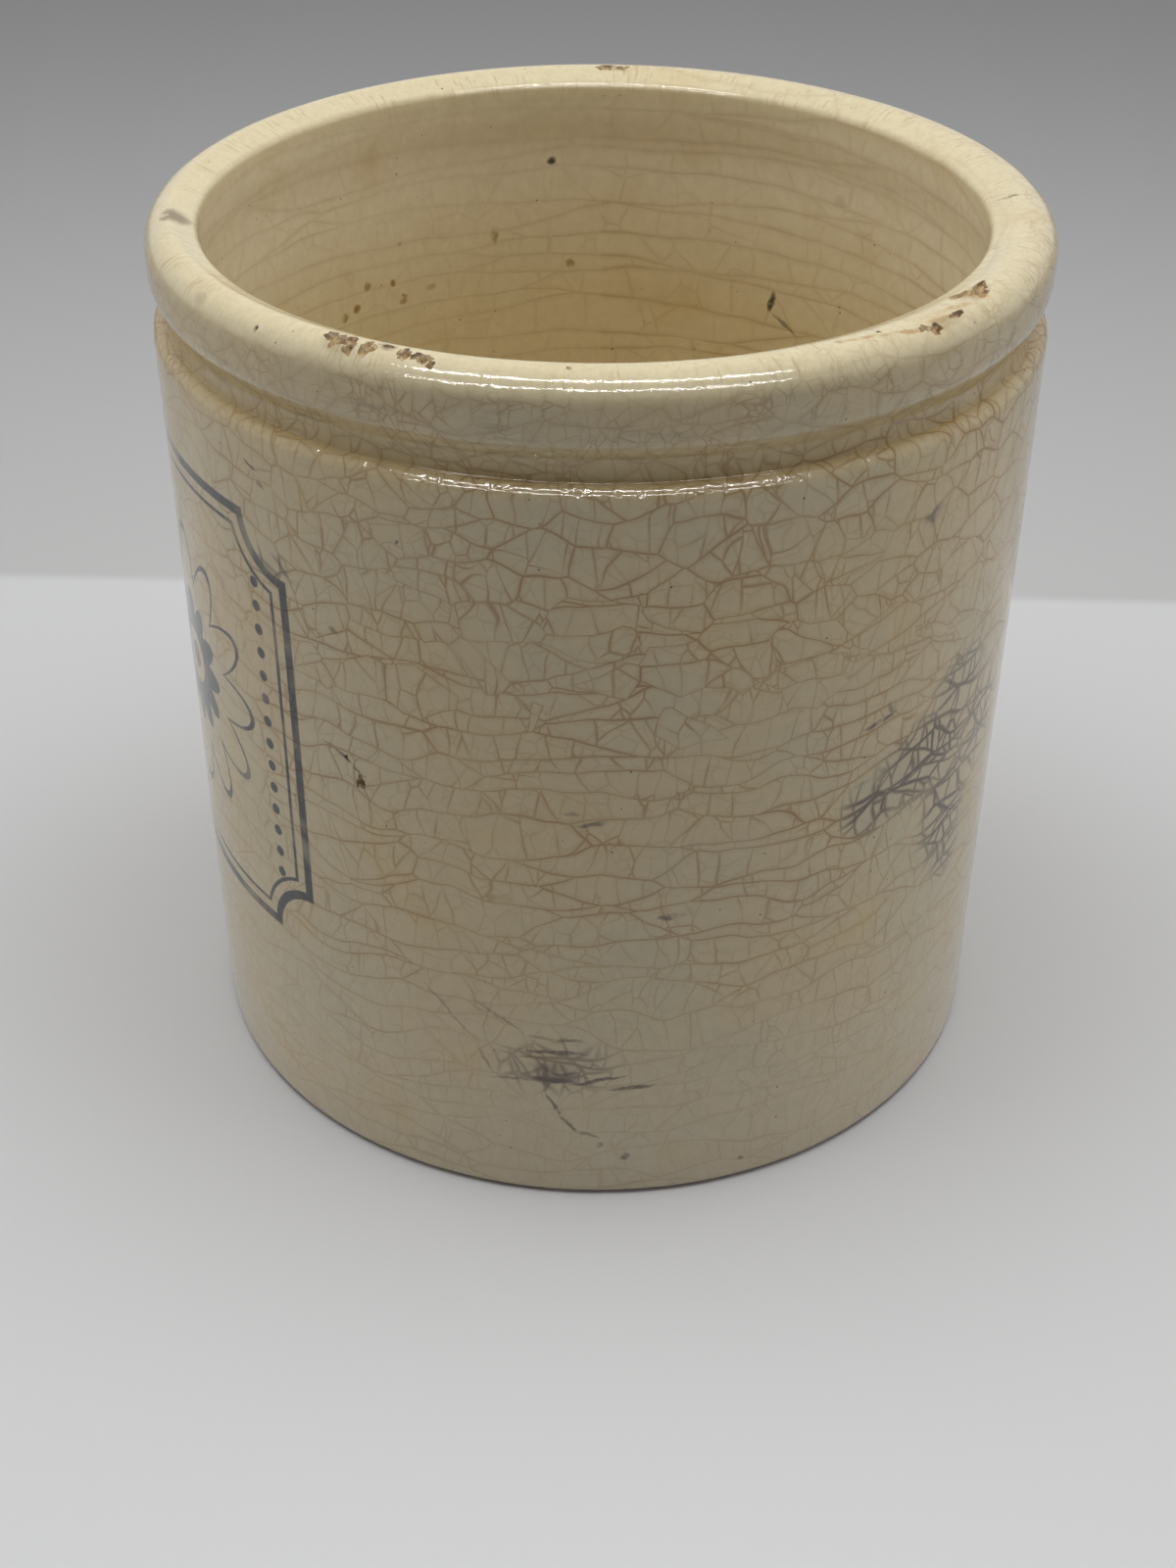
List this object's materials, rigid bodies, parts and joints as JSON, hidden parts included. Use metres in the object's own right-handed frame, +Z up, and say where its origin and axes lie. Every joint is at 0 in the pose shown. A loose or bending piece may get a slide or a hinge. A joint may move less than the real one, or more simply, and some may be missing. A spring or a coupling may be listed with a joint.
{
  "type": "preserve jar",
  "caption": "Straight-sided glazed stoneware preserve jar with an open mouth, rolled rim bead, tie groove under the bead for a cover string, and a recessed base on a bare foot ring.",
  "frame": {"origin": "on the jar's axis in the plane of the foot ring that it stands on", "axes": "+Z up along the jar's axis; -Y towards the viewer of the picture, +X to the viewer's right"},
  "size_m": [0.1098, 0.1098, 0.114],
  "materials": {
    "bare_clay": "rough fired clay, dirty in the chips",
    "cream_glaze": "glossy, crazed and stained",
    "liner_glaze": "glossy, crazed, yellowed",
    "base_glaze": "glossy, thin"
  },
  "bodies": {
    "root": {"clay_body": "bare_clay", "outer_glaze": "cream_glaze", "inner_glaze": "liner_glaze", "base_glaze": "base_glaze"}
  },
  "joints": []
}
